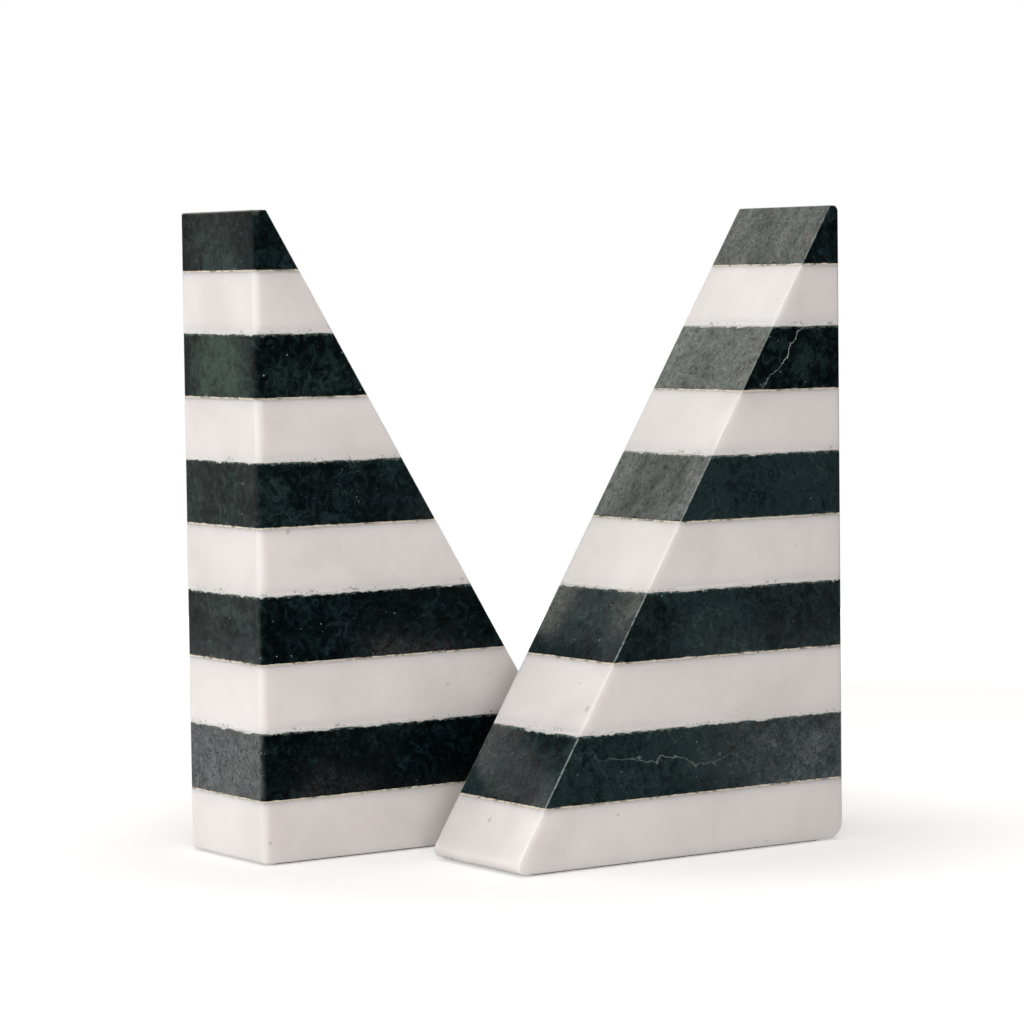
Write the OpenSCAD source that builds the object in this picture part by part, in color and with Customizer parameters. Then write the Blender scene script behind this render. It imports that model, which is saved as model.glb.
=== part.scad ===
// Pair of striped marble book ends.
// Each one is a tapering block: ten marble slabs, white and dark green by turns,
// laid flat on one another and bonded with thin beds of resin, on a felt pad.
// One stands on the left and its mirror image on the right. X runs along the
// shelf, Y across it and Z up. The origin is under the middle of the pair.

/* [Book end] */
// Length of the base along the shelf, to the sharp line of the toe
base_l = 128; // [90:1:180]
// Length of the flat on top
top_l = 4.3; // [4:0.1:30]
// Width across the shelf
end_w = 46; // [25:1:90]

/* [Slabs, counted up from the base] */
// Thickness that the slabs are sawn to
slab_t = 19.6; // [14:0.1:28]
// How much thicker than that slab 1 came out, white, at the base
slab_1_extra = -0.6; // [-2:0.1:2]
// How much thicker than that slab 2 came out, dark
slab_2_extra = 1.2; // [-2:0.1:2]
// How much thicker than that slab 3 came out, white
slab_3_extra = 0.8; // [-2:0.1:2]
// How much thicker than that slab 4 came out, dark
slab_4_extra = 1.2; // [-2:0.1:2]
// How much thicker than that slab 5 came out, white
slab_5_extra = 0.6; // [-2:0.1:2]
// How much thicker than that slab 6 came out, dark
slab_6_extra = 0.3; // [-2:0.1:2]
// How much thicker than that slab 7 came out, white
slab_7_extra = -0.7; // [-2:0.1:2]
// How much thicker than that slab 8 came out, dark
slab_8_extra = 0; // [-2:0.1:2]
// How much thicker than that slab 9 came out, white
slab_9_extra = -1; // [-2:0.1:2]
// How much thicker than that slab 10 came out, dark, at the top
slab_10_extra = -1.4; // [-2:0.1:2]

/* [Bonds and pads] */
// Thickness of the resin bed between two slabs
bond_t = 0.4; // [0.2:0.1:1]
// Thickness of the felt pad under the base
pad_t = 0.6; // [0.5:0.1:3]
// Distance from the edge of the flat underside in to the pad
pad_inset = 2; // [1:0.5:8]
// Corner radius of the pad
pad_corner_r = 3; // [1:0.5:6]

/* [Rounded edges] */
// Radius where the slope rolls under at the toe
toe_r = 2.8; // [1:0.1:8]
// Radius of the left book end's edge between its upright face and its underside
left_heel_r = 1.2; // [0.5:0.1:8]
// Radius of the same edge on the right book end, which is worn rounder
right_heel_r = 5.3; // [0.5:0.1:8]
// Radius of the left book end's edge between its upright face and its top
left_crown_r = 0.8; // [0.5:0.1:3.5]
// Radius of the same edge on the right book end, which is worn rounder
right_crown_r = 2; // [0.5:0.1:3.5]
// Radius of the two upright edges beside the upright face
upright_edge_r = 2; // [0.5:0.1:6]
// Leg of the fine bevel along the slope, the top and the underside
bevel = 0.3; // [0.2:0.1:1.5]

/* [Pair] */
// Clear way across the shelf between the two book ends
pair_gap = 21; // [2:1:80]
// Distance along the shelf from the left upright face to the right toe line
pair_stagger = 46; // [0:1:200]

/* [Hidden] */
$fn = 64;
WHITE = "#E6E2DF";
DARK = "#1B2526";
RESIN = "#B9AC93";
FELT = "#3A3733";

slab_extras = [
    slab_1_extra, slab_2_extra, slab_3_extra, slab_4_extra, slab_5_extra,
    slab_6_extra, slab_7_extra, slab_8_extra, slab_9_extra, slab_10_extra
];
slab_ts = [for (extra = slab_extras) slab_t + extra];
slab_count = len(slab_ts);
SLABS = [1 : slab_count];
BONDS = [1 : slab_count - 1];
SIDES = ["left", "right"];

// Height of the underside of slab i, where slab 1 lies on the pad
function slab_z(i) = i == 1 ? pad_t : slab_z(i - 1) + slab_ts[i - 2] + bond_t;

end_h = slab_z(slab_count) + slab_ts[slab_count - 1];
stone_h = end_h - pad_t;
toe_angle = atan2(stone_h, base_l - top_l);
toe_tangent = toe_r / tan(toe_angle / 2);
slope_l = norm([base_l - top_l, stone_h]);
pair_l = pair_stagger + base_l;
pair_w = 2 * end_w + pair_gap;
// How far cutting shapes run past the faces that they cut
overrun = 5;

function heel_r(side) = side == "left" ? left_heel_r : right_heel_r;
function crown_r(side) = side == "left" ? left_crown_r : right_crown_r;
function is_white(i) = i % 2 == 1;
function slab_name(side, i) = str(side, "_slab_", i, is_white(i) ? "_white" : "_dark");
function bond_name(side, i) = str(side, "_bond_", i);
function pad_name(side) = str(side, "_felt_pad");

// Stands a book end's own frame on the shelf. In that frame X runs from the
// upright face towards the toe and Y from the near face to the far one. The
// right book end is the mirror image and stands nearer by the width and the gap.
module stand(side) {
    if (side == "left")
        translate([-pair_l / 2, pair_w / 2 - end_w, 0]) children();
    else
        translate([pair_l / 2, -pair_w / 2, 0]) mirror([1, 0, 0]) children();
}

// Outline from the side: upright face, top flat, slope and underside, with
// round toe, heel and crown. X is length and Y is height.
module side_outline(side) {
    r = heel_r(side);
    crown = crown_r(side);
    polygon([
        [r, pad_t],
        [base_l - toe_tangent, pad_t],
        [base_l - toe_tangent * cos(toe_angle), pad_t + toe_tangent * sin(toe_angle)],
        [top_l, end_h],
        [crown, end_h],
        [0, end_h - crown],
        [0, pad_t + r]
    ]);
    translate([r, pad_t + r]) circle(r);
    translate([base_l - toe_tangent, pad_t + toe_r]) circle(toe_r);
    translate([crown, end_h - crown]) circle(crown);
}

// Outline from above, with the two upright edges rounded. It runs past the toe.
module top_outline() {
    r = upright_edge_r;
    translate([r, 0]) square([base_l + overrun - r, end_w]);
    translate([0, r]) square([r, end_w - 2 * r]);
    translate([r, r]) circle(r);
    translate([r, end_w - r]) circle(r);
}

// A square bar along +X whose diagonal is twice the bevel, so that it cuts the
// bevel off an edge that runs through its middle.
module bevel_bar(length) {
    rotate([45, 0, 0])
        translate([-overrun, -bevel / sqrt(2), -bevel / sqrt(2)])
            cube([length + 2 * overrun, bevel * sqrt(2), bevel * sqrt(2)]);
}

// The bars along both edges of the slope, the top and the underside
module bevel_bars() {
    for (y = [0, end_w]) translate([0, y, 0]) {
        translate([0, 0, pad_t]) bevel_bar(base_l);
        translate([0, 0, end_h]) bevel_bar(base_l);
        translate([base_l, 0, pad_t]) rotate([0, toe_angle - 180, 0]) bevel_bar(slope_l);
    }
}

// The whole dressed block of stone, before it is thought of as slabs
module block(side) {
    difference() {
        intersection() {
            translate([0, end_w + overrun, 0]) rotate([90, 0, 0])
                linear_extrude(end_w + 2 * overrun) side_outline(side);
            linear_extrude(end_h + overrun) top_outline();
        }
        bevel_bars();
    }
}

// The part of the block between two heights
module layer(side, z, thickness) {
    intersection() {
        block(side);
        translate([-overrun, -overrun, z])
            cube([base_l + 2 * overrun, end_w + 2 * overrun, thickness]);
    }
}

module slab(side, i) {
    color(is_white(i) ? WHITE : DARK) stand(side) layer(side, slab_z(i), slab_ts[i - 1]);
}

// Resin bed on top of slab i, flush with the stone
module bond(side, i) {
    color(RESIN) stand(side) layer(side, slab_z(i) + slab_ts[i - 1], bond_t);
}

// Felt sheet under the flat of the base, from the heel's arc to the toe's
module felt_pad(side) {
    length = base_l - toe_tangent - heel_r(side) - 2 * pad_inset;
    width = end_w - 2 * pad_inset;
    r = pad_corner_r;
    color(FELT) stand(side) translate([heel_r(side) + pad_inset, pad_inset, 0])
        linear_extrude(pad_t) {
            translate([r, 0]) square([length - 2 * r, width]);
            translate([0, r]) square([length, width - 2 * r]);
            for (x = [r, length - r], y = [r, width - r]) translate([x, y]) circle(r);
        }
}

for (side = SIDES) {
    for (i = SLABS) slab(side, i);
    for (i = BONDS) bond(side, i);
    felt_pad(side);
}
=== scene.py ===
"""Dressed model of a pair of striped marble book ends on a plain pale floor.

Each book end is a tapering block of ten bonded marble slabs, white and dark
green by turns, on a felt pad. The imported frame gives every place: a slab, a
resin bed or a pad is rebuilt inside its own solid, with softened arrises,
chips along the joints and the stone's own figure. Lengths are in millimetres
until a mesh is made, which is in metres.
"""
import logging
import math
from dataclasses import dataclass, field
from enum import Enum
from functools import partial
from typing import Any, ClassVar, Sequence

import bpy
import numpy as np
from bpy.types import Material, Mesh, NodeOutputs, NodeSocket, NodeTree, Object
from mathutils import Matrix, Vector


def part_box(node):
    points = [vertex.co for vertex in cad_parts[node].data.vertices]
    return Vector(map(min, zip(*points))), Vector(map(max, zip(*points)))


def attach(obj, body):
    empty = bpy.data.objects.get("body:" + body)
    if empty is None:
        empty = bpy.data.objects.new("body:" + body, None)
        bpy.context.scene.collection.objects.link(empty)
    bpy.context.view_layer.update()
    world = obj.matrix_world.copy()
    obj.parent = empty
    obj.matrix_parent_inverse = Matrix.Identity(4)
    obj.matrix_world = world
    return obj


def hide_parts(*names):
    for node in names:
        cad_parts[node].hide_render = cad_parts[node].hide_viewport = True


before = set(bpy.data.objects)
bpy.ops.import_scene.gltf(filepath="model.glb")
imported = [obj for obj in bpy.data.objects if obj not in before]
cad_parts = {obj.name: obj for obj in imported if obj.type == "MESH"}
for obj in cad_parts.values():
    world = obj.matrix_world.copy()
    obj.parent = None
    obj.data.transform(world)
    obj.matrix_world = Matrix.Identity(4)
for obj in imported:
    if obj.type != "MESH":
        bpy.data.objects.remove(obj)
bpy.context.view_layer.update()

MM = 0.001
LOG = logging.getLogger("book_ends")

MATH = "ShaderNodeMath"
MIX = "ShaderNodeMix"
NOISE = "ShaderNodeTexNoise"
RANGE = "ShaderNodeMapRange"
VECTOR = "ShaderNodeVectorMath"
ATTRIBUTE = "ShaderNodeAttribute"
PLACE = "ShaderNodeTexCoord"
SMOOTH = {"interpolation_type": "SMOOTHSTEP"}
CLEAR_WHITE = (1.0, 1.0, 1.0, 1.0)


class Side(Enum):
    """The two book ends, by where each stands along the shelf."""

    LEFT = "left"
    RIGHT = "right"


class Stone(Enum):
    """The two marbles, by the last word of a slab's name."""

    WHITE = "white"
    DARK = "dark"


def linear(hex_colour: str) -> tuple[float, float, float, float]:
    """Turn an sRGB hex colour into linear light.

    Args:
        hex_colour: Colour such as "#E6E2DF".

    Returns:
        Red, green, blue and an alpha of 1, all linear.
    """
    values = [int(hex_colour[i:i + 2], 16) / 255 for i in (1, 3, 5)]
    r, g, b = (v / 12.92 if v <= 0.04045 else ((v + 0.055) / 1.055) ** 2.4 for v in values)
    return (r, g, b, 1.0)


def per_mm(size_mm: float) -> float:
    """Give the texture scale at which a pattern's features are size_mm across."""
    return 1.0 / (size_mm * MM)


def node(
    tree: NodeTree,
    kind: str,
    inputs: dict[str, Any] | Sequence[Any] = (),
    out: str | None = None,
    stops: Sequence[tuple[float, str]] = (),
    **settings: Any,
) -> NodeSocket:
    """Add a node with its settings, values and links.

    Args:
        tree: Node tree to add to.
        kind: The node's type name.
        inputs: Values or sockets, by input name or in the order of the inputs in
            use: value, from and to for a range; place, scale, detail, roughness,
            lacunarity and distortion for a noise.
        out: Name of the output wanted, or None for the first one in use.
        stops: Position and hex colour of each stop, on a colour ramp.
        settings: The node's own properties.

    Returns:
        The output socket, from which its node can be reached.
    """
    made = tree.nodes.new(kind)
    for name, value in settings.items():
        setattr(made, name, value)
    for place, (position, colour) in enumerate(stops):
        elements = made.color_ramp.elements
        stop = elements[place] if place < len(elements) else elements.new(position)
        stop.position = position
        stop.color = linear(colour)
    sockets = [s for s in made.inputs if s.enabled]
    if isinstance(inputs, dict):
        sockets = [next(s for s in sockets if s.name == name) for name in inputs]
        inputs = list(inputs.values())
    for socket, value in zip(sockets, inputs):
        if isinstance(value, NodeSocket):
            tree.links.new(value, socket)
        else:
            socket.default_value = value
    if not made.outputs:
        return made.inputs[0]
    return made.outputs[out] if out else next(s for s in made.outputs if s.enabled)


def new_material(name: str) -> Material:
    """Make a node material with nothing in its tree.

    Args:
        name: The material's name.

    Returns:
        The material.
    """
    material = bpy.data.materials.new(name)
    material.use_nodes = True
    material.node_tree.nodes.clear()
    return material


def put_in_scene(name: str, data: bpy.types.ID) -> Object:
    """Make an object of a mesh, a lamp or a camera, and put it in the scene.

    Args:
        name: The object's name.
        data: The mesh, lamp or camera.

    Returns:
        The object.
    """
    made = bpy.data.objects.new(name, data)
    bpy.context.scene.collection.objects.link(made)
    return made


def stone_place(tree: NodeTree, warp_mm: float, warp_size_mm: float) -> NodeSocket:
    """Give the place in the quarry block that each point of a slab was cut from.

    Every slab carries a number of its own, which moves and turns it in the block,
    so no two slabs show the same figure.

    Args:
        tree: The material's tree.
        warp_mm: How far the figure is bent.
        warp_size_mm: How long the bends are.

    Returns:
        The place, as a vector in metres.
    """
    add = partial(node, tree)
    own = add(ATTRIBUTE, out="Fac", attribute_name="slab_seed")
    place = add(PLACE, out="Object")
    turned = add("ShaderNodeVectorRotate",
                 {"Vector": place, "Axis": (0.48, 0.60, 0.64), "Angle": own}, rotation_type="AXIS_ANGLE")
    shift = add(VECTOR, ((0.31, -0.17, 0.23), own), operation="SCALE")
    moved = add(VECTOR, (turned, shift), operation="ADD")
    bend = add(NOISE, (moved, per_mm(warp_size_mm), 3.0), out="Color")
    centred = add(VECTOR, (bend, (0.5, 0.5, 0.5)), operation="SUBTRACT")
    sized = add(VECTOR, (centred, 2 * warp_mm * MM), operation="SCALE")
    return add(VECTOR, (moved, sized), operation="ADD")


@dataclass(frozen=True)
class Band:
    """A ragged band along one of a slab's edges, in millimetres.

    The attribute edge holds the distance to that edge. The band's border is soft
    over some width and wanders to either side, in turns of about the grain.
    """

    edge: str
    width: float
    wander: float
    soft: float
    grain: float = 1.6

    def draw(self, tree: NodeTree, place: NodeSocket) -> NodeSocket:
        """Draw the band.

        Args:
            tree: The material's tree.
            place: Where the noise is read.

        Returns:
            A factor, 1 in the band and 0 past it.
        """
        gap = node(tree, ATTRIBUTE, out="Fac", attribute_name=self.edge)
        rag = node(tree, NOISE, (place, per_mm(self.grain), 4.0, 0.65))
        shift = node(tree, RANGE, (rag, 0.25, 0.75, -self.wander, self.wander))
        reach = node(tree, MATH, (gap, shift), operation="ADD")
        inner, outer = self.width - self.soft / 2, self.width + self.soft / 2
        return node(tree, RANGE, (reach, inner, outer, 1.0, 0.0), **SMOOTH)


@dataclass(frozen=True)
class Specks:
    """Round specks in a share of the cells of one spacing, in millimetres."""

    spacing: float
    radius: float
    share: float

    def draw(self, tree: NodeTree, place: NodeSocket) -> NodeSocket:
        """Scatter the specks, at most one to a cell.

        Args:
            tree: The material's tree.
            place: Where the cells are read.

        Returns:
            A factor, 1 in a speck and 0 outside.
        """
        cells = node(tree, "ShaderNodeTexVoronoi", (place, per_mm(self.spacing)))
        chance = node(tree, "ShaderNodeSeparateXYZ", (cells.node.outputs["Color"],), out="X")
        size = node(tree, RANGE, (chance, 1.0 - self.share, 1.0, 0.0001, self.radius / self.spacing))
        near = node(tree, MATH, (cells, size), operation="DIVIDE")
        return node(tree, RANGE, (near, 0.3, 1.0, 1.0, 0.0), **SMOOTH)


def lay(tree: NodeTree, colour: NodeSocket, *coats: tuple[NodeSocket, str, float]) -> NodeSocket:
    """Lay coats of colour over another colour.

    Args:
        tree: The material's tree.
        colour: The lowest colour.
        coats: Where each coat shows, its sRGB hex colour, and how much of it
            shows where that factor is 1.

    Returns:
        The blended colour.
    """
    for factor, above, most in coats:
        if most < 1.0:
            factor = node(tree, MATH, (factor, most), operation="MULTIPLY")
        colour = node(tree, MIX, (factor, colour, linear(above)), data_type="RGBA")
    return colour


@dataclass(frozen=True)
class WhiteMarble:
    """White marble, sawn, bonded and polished with the rest of the block.

    Fine calcite crystal: light creeps some millimetres round its edges, so a
    shaded face is brighter beside a lit one. Clouds are faint, with a few
    grey-brown specks, and beside the joints the resin leaves a tan stain.
    """

    name: str = "white_marble_polished"
    body: str = "#EDE8E5"
    cloud: str = "#E4DEDB"
    speck: str = "#8A8380"
    stain: str = "#B59B78"
    smear: str = "#79837F"
    cement: str = "#D9D5CE"
    cloud_mm: float = 24.0
    crystal_mm: float = 0.9
    sheen_mm: float = 35.0
    scatter_mm: float = 4.5
    specks: Specks = Specks(spacing=8.0, radius=1.4, share=0.45)
    stained: Band = Band("joint_above_mm", width=0.15, wander=0.8, soft=0.8)
    smeared: Band = Band("joint_below_mm", width=0.0, wander=1.7, soft=0.8, grain=6.0)

    def build(self) -> Material:
        """Build the material.

        Returns:
            The finished material.
        """
        material = new_material(self.name)
        tree = material.node_tree
        add = partial(node, tree)
        place = stone_place(tree, warp_mm=2.0, warp_size_mm=15.0)

        cloud = add(NOISE, (place, per_mm(self.cloud_mm), 3.0, 0.5, 2.0, 0.3))
        cloudy = add("ShaderNodeValToRGB", (cloud,), stops=((0.40, self.body), (0.68, self.cloud)))
        crystal = add(NOISE, (place, per_mm(self.crystal_mm), 2.0))
        sparkle = add(RANGE, (crystal, 0.3, 0.7, 0.99, 1.0))
        grained = add(VECTOR, (cloudy, sparkle), operation="SCALE")

        crumbs = add(RANGE, (crystal, 0.50, 0.58), **SMOOTH)
        pitted = add(MATH, (self.smeared.draw(tree, place), crumbs), operation="MULTIPLY")
        chip = add(ATTRIBUTE, out="Fac", attribute_name="chip")
        colour = lay(tree, grained, (self.specks.draw(tree, place), self.speck, 0.38),
                     (self.stained.draw(tree, place), self.stain, 0.25),
                     (pitted, self.smear, 0.65), (chip, self.cement, 1.0))

        sheen = add(NOISE, (place, per_mm(self.sheen_mm), 1.0))
        rough = add(RANGE, (sheen, 0.3, 0.7, 0.20, 0.26))
        relief = add("ShaderNodeBump", {"Height": crystal, "Strength": 0.03, "Distance": 0.02 * MM})
        below = add(ATTRIBUTE, out="Fac", attribute_name="joint_below_mm")
        deep = add(RANGE, (below, 0.3, 1.1), **SMOOTH)
        shader = add("ShaderNodeBsdfPrincipled", {
            "Base Color": colour, "Roughness": rough, "Normal": relief, "IOR": 1.50,
            "Subsurface Weight": deep, "Subsurface Radius": (1.0, 0.94, 0.90),
            "Subsurface Scale": self.scatter_mm * MM,
        })
        add("ShaderNodeOutputMaterial", (shader,))
        return material


@dataclass(frozen=True)
class GreenMarble:
    """Dark green serpentine marble, sawn, bonded and polished.

    Near black where it is dense, mottled with grey-green crystal that takes
    less polish, so a reflection shows it. Healed hairlines, pin specks in
    strings, and on the slabs that have them a few white calcite veins. Sawn
    edges bruise pale, and white cement fills what broke out beside a joint.
    """

    name: str = "green_marble_polished"
    dense: str = "#040A0C"
    body: str = "#0D191B"
    crystal: str = "#1F2E30"
    leaf: str = "#3A5042"
    hairline: str = "#3A4A45"
    vein: str = "#B4BDB8"
    bruise: str = "#6E7F79"
    arris: str = "#8F9B96"
    cement: str = "#CBCCC6"
    tan: str = "#B5A68D"
    drift_mm: float = 22.0
    mottle_mm: float = 4.0
    crystal_mm: float = 1.4
    hairline_mm: float = 13.0
    vein_mm: float = 11.0
    swerve_mm: float = 4.5
    wear_mm: float = 10.0
    wave_mm: float = 16.0
    strung: Specks = Specks(spacing=1.4, radius=0.32, share=0.45)
    loose: Specks = Specks(spacing=4.2, radius=0.34, share=0.35)
    bruised: Band = Band("joint_above_mm", width=0.5, wander=0.9, soft=0.7)
    filled: Band = Band("joint_above_mm", width=0.05, wander=1.1, soft=0.15, grain=8.0)
    seated: Band = Band("joint_below_mm", width=-0.1, wander=0.35, soft=0.12)
    # Band along the slope arrises: the eased arris is rougher and paler there, and its paler colour is
    # partly a painted highlight.
    eased_and_highlit: Band = Band("arris_mm", width=0.03, wander=0.10, soft=0.12)
    jointed: Band = Band("joint_above_mm", width=2.5, wander=0.5, soft=0.5)

    def build(self) -> Material:
        """Build the material.

        Returns:
            The finished material.
        """
        material = new_material(self.name)
        tree = material.node_tree
        add = partial(node, tree)
        place = stone_place(tree, warp_mm=1.6, warp_size_mm=6.0)
        pale, leafy, polish, chip, gap, amount = (
            add(ATTRIBUTE, out="Fac", attribute_name=name)
            for name in ("pale", "leafy", "polish", "chip", "vein_mm", "veined")
        )

        drift = add(NOISE, (place, per_mm(self.drift_mm), 3.0))
        mottle = add(NOISE, (place, per_mm(self.mottle_mm), 5.0, 0.62, 2.0, 1.2))
        # Pale lightens the figure. On the near and far faces it is partly painted light, set slab by slab
        # in FIGURES.
        mixed = add(MATH, (pale, 0.06, mottle), operation="MULTIPLY_ADD")
        lean = add(MATH, (drift, 0.5, mixed), operation="MULTIPLY_ADD")
        ground = add("ShaderNodeValToRGB", (lean,),
                     stops=((0.62, self.dense), (0.75, self.body), (0.92, self.crystal)))
        grain = add(NOISE, (place, per_mm(self.crystal_mm), 4.0, 0.7, 2.0, 1.5))
        grains = add(RANGE, (grain, 0.50, 0.72), **SMOOTH)
        share = add(MATH, (pale, 0.35, 0.45), operation="MULTIPLY_ADD")
        grained = add(MATH, (grains, share), operation="MULTIPLY")
        leaves = add(RANGE, (lean, 0.66, 0.90))
        greener = add(MATH, (leaves, leafy), operation="MULTIPLY")

        crinkle = add(NOISE, (place, per_mm(self.hairline_mm), 6.0, 0.55, 2.0, 0.3))
        off = add(MATH, (crinkle, 0.5), operation="SUBTRACT")
        away = add(MATH, (off,), operation="ABSOLUTE")
        healed = add(RANGE, (away, 0.004, 0.014, 1.0, 0.0), **SMOOTH)
        here = add(RANGE, (drift, 0.42, 0.60))
        hairline = add(MATH, (healed, here), operation="MULTIPLY")
        open_share = add(MATH, (share, 0.55), operation="MINIMUM")
        shown = add(MATH, (hairline, open_share), operation="MULTIPLY", use_clamp=True)

        kinked = add(NOISE, (place, per_mm(self.vein_mm), 5.0, 0.62))
        swerve = add(RANGE, (kinked, 0.25, 0.75, -self.swerve_mm, self.swerve_mm))
        off = add(MATH, (gap, swerve), operation="ADD")
        away = add(MATH, (off,), operation="ABSOLUTE")
        thin = add(RANGE, (away, 0.10, 0.34, 1.0, 0.0), **SMOOTH)
        vein = add(MATH, (thin, amount), operation="MULTIPLY")

        strings = add(RANGE, (drift, 0.505, 0.535, 1.0, 0.0))
        stringed = add(MATH, (drift, 0.495), operation="GREATER_THAN")
        band = add(MATH, (strings, stringed), operation="MULTIPLY")
        strung = add(MATH, (self.strung.draw(tree, place), band), operation="MULTIPLY")
        specks = add(MATH, (strung, self.loose.draw(tree, place)), operation="MAXIMUM")

        bruised, filled, seated, eased_and_highlit, jointed = (
            band.draw(tree, place)
            for band in (self.bruised, self.filled, self.seated, self.eased_and_highlit, self.jointed)
        )
        packed = add(MATH, (chip, jointed), operation="MULTIPLY")
        white = add(MATH, (filled, packed), operation="MAXIMUM")
        # The arris colour on that band is partly a painted highlight along the slope edges, besides the
        # eased arris's own paler tone.
        colour = lay(tree, ground, (grained, self.crystal, 1.0), (greener, self.leaf, 0.5),
                     (shown, self.hairline, 1.0), (vein, self.vein, 1.0), (specks, self.vein, 0.9),
                     (bruised, self.bruise, 0.5), (eased_and_highlit, self.arris, 0.6), (chip, self.bruise, 0.12),
                     (seated, self.tan, 1.0), (white, self.cement, 1.0))

        smooth = add(RANGE, (grain, 0.40, 0.68, 0.13, 0.32))
        dull = add(MATH, (bruised, eased_and_highlit), operation="MAXIMUM")
        rough = add(MATH, (dull, 0.25, smooth), operation="MULTIPLY_ADD")
        streak = add("ShaderNodeMapping", {"Vector": place, "Scale": (1.0, 1.0, 2.0)})
        worn = add(NOISE, (streak, per_mm(self.wear_mm), 7.0, 0.70, 2.0, 0.3))
        gloss = add(RANGE, (worn, 0.32, 0.64, 0.20, 0.64))
        open_grain = add(RANGE, (grain, 0.38, 0.64, 1.65, 0.35))
        gloss = add(MATH, (gloss, open_grain), operation="MULTIPLY")
        gloss = add(MATH, (gloss, polish), operation="MULTIPLY")
        wave = add(NOISE, (place, per_mm(self.wave_mm), 1.0))
        height = add(MATH, (wave, 4.0, grain), operation="MULTIPLY_ADD")
        relief = add("ShaderNodeBump", {"Height": height, "Strength": 0.25, "Distance": 0.03 * MM})
        shader = add("ShaderNodeBsdfPrincipled", {
            "Base Color": colour, "Roughness": rough, "Normal": relief, "IOR": 1.52,
            "Specular IOR Level": gloss,
        })
        add("ShaderNodeOutputMaterial", (shader,))
        return material


@dataclass(frozen=True)
class SandedResin:
    """Polyester stone resin, squeezed out of the joints and sanded flush.

    Tan under a dark slab, whiter with marble dust under a white one, and dirty
    in places. The attribute tan tells the two kinds of bed apart.
    """

    name: str = "stone_resin_sanded"
    dusty: str = "#DCD8D3"
    tan: str = "#E2D6C2"
    dirt: str = "#4F463A"
    mottle_mm: float = 3.0
    grit_mm: float = 0.5

    def build(self) -> Material:
        """Build the material.

        Returns:
            The finished material.
        """
        material = new_material(self.name)
        tree = material.node_tree
        add = partial(node, tree)
        place = add(PLACE, out="Object")
        kind = add(ATTRIBUTE, out="Fac", attribute_name="tan")
        body = add(MIX, (kind, linear(self.dusty), linear(self.tan)), data_type="RGBA")
        mottle = add(NOISE, (place, per_mm(self.mottle_mm), 4.0, 0.65))
        dirty = add(RANGE, (mottle, 0.48, 0.62), **SMOOTH)
        share = add(RANGE, (kind, 0.0, 1.0, 0.15, 0.75))
        marked = add(MATH, (dirty, share), operation="MULTIPLY")
        colour = lay(tree, body, (marked, self.dirt, 1.0))
        grit = add(NOISE, (place, per_mm(self.grit_mm), 2.0))
        rough = add(RANGE, (grit, 0.0, 1.0, 0.45, 0.7))
        relief = add("ShaderNodeBump", {"Height": grit, "Strength": 0.4, "Distance": 0.05 * MM})
        shader = add("ShaderNodeBsdfPrincipled",
                     {"Base Color": colour, "Roughness": rough, "Normal": relief, "IOR": 1.54})
        add("ShaderNodeOutputMaterial", (shader,))
        return material


@dataclass(frozen=True)
class PressedFelt:
    """Wool felt, pressed into a thin sheet and die cut.

    Matted fibres with no weave: dull, slightly uneven in tone, with a soft sheen
    where the fibres stand up.
    """

    name: str = "wool_felt_pressed"
    dark: str = "#37332E"
    light: str = "#5C564E"
    fibre_mm: float = 0.7
    tuft_mm: float = 4.0

    def build(self) -> Material:
        """Build the material.

        Returns:
            The finished material.
        """
        material = new_material(self.name)
        tree = material.node_tree
        add = partial(node, tree)
        place = add(PLACE, out="Object")
        drawn = add("ShaderNodeMapping",
                    {"Vector": place, "Rotation": (0.0, 0.0, 0.6), "Scale": (1.0, 3.5, 1.0)})
        fibre = add(NOISE, (drawn, per_mm(self.fibre_mm), 5.0, 0.7, 2.0, 2.0))
        tuft = add(NOISE, (place, per_mm(self.tuft_mm), 3.0))
        both = add(MATH, (fibre, 0.6, tuft), operation="MULTIPLY_ADD")
        colour = add("ShaderNodeValToRGB", (both,), stops=((0.6, self.dark), (1.0, self.light)))
        relief = add("ShaderNodeBump", {"Height": fibre, "Strength": 0.8, "Distance": 0.15 * MM})
        shader = add("ShaderNodeBsdfPrincipled", {
            "Base Color": colour, "Roughness": 0.95, "Normal": relief, "Sheen Weight": 0.35,
            "Sheen Roughness": 0.5,
        })
        add("ShaderNodeOutputMaterial", (shader,))
        return material


class MeshTree:
    """Geometry nodes that take a mesh, some numbers and a material.

    The numbers end with the noise's grain and seed. A subclass's work moves the
    mesh's points, and what comes out is realised and wears the material.
    """

    title: ClassVar[str]
    numbers: ClassVar[tuple[str, ...]]

    def work(self, tree: NodeTree, given: NodeOutputs, place: NodeSocket, scale: NodeSocket) -> NodeSocket:
        """Move the mesh's points, in each subclass's own way.

        Args:
            tree: The node group's tree.
            given: The group's inputs by name.
            place: Where each point is.
            scale: The noise's scale.

        Returns:
            The moved mesh.
        """
        raise NotImplementedError

    def build(self) -> NodeTree:
        """Build the node group.

        Returns:
            The group.
        """
        tree = bpy.data.node_groups.new(self.title, "GeometryNodeTree")
        add = partial(node, tree)
        face = tree.interface
        face.new_socket("Geometry", in_out="INPUT", socket_type="NodeSocketGeometry")
        for name in (*self.numbers, "Grain mm", "Seed"):
            face.new_socket(name, in_out="INPUT", socket_type="NodeSocketFloat")
        face.new_socket("Material", in_out="INPUT", socket_type="NodeSocketMaterial")
        face.new_socket("Geometry", in_out="OUTPUT", socket_type="NodeSocketGeometry")
        given = add("NodeGroupInput", out="Geometry").node.outputs
        place = add("GeometryNodeInputPosition")
        scale = add(MATH, (1.0 / MM, given["Grain mm"]), operation="DIVIDE")
        whole = add("GeometryNodeRealizeInstances", (self.work(tree, given, place, scale),))
        dressed = add("GeometryNodeSetMaterial", {"Geometry": whole, "Material": given["Material"]})
        add("NodeGroupOutput", (dressed,))
        return tree


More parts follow.
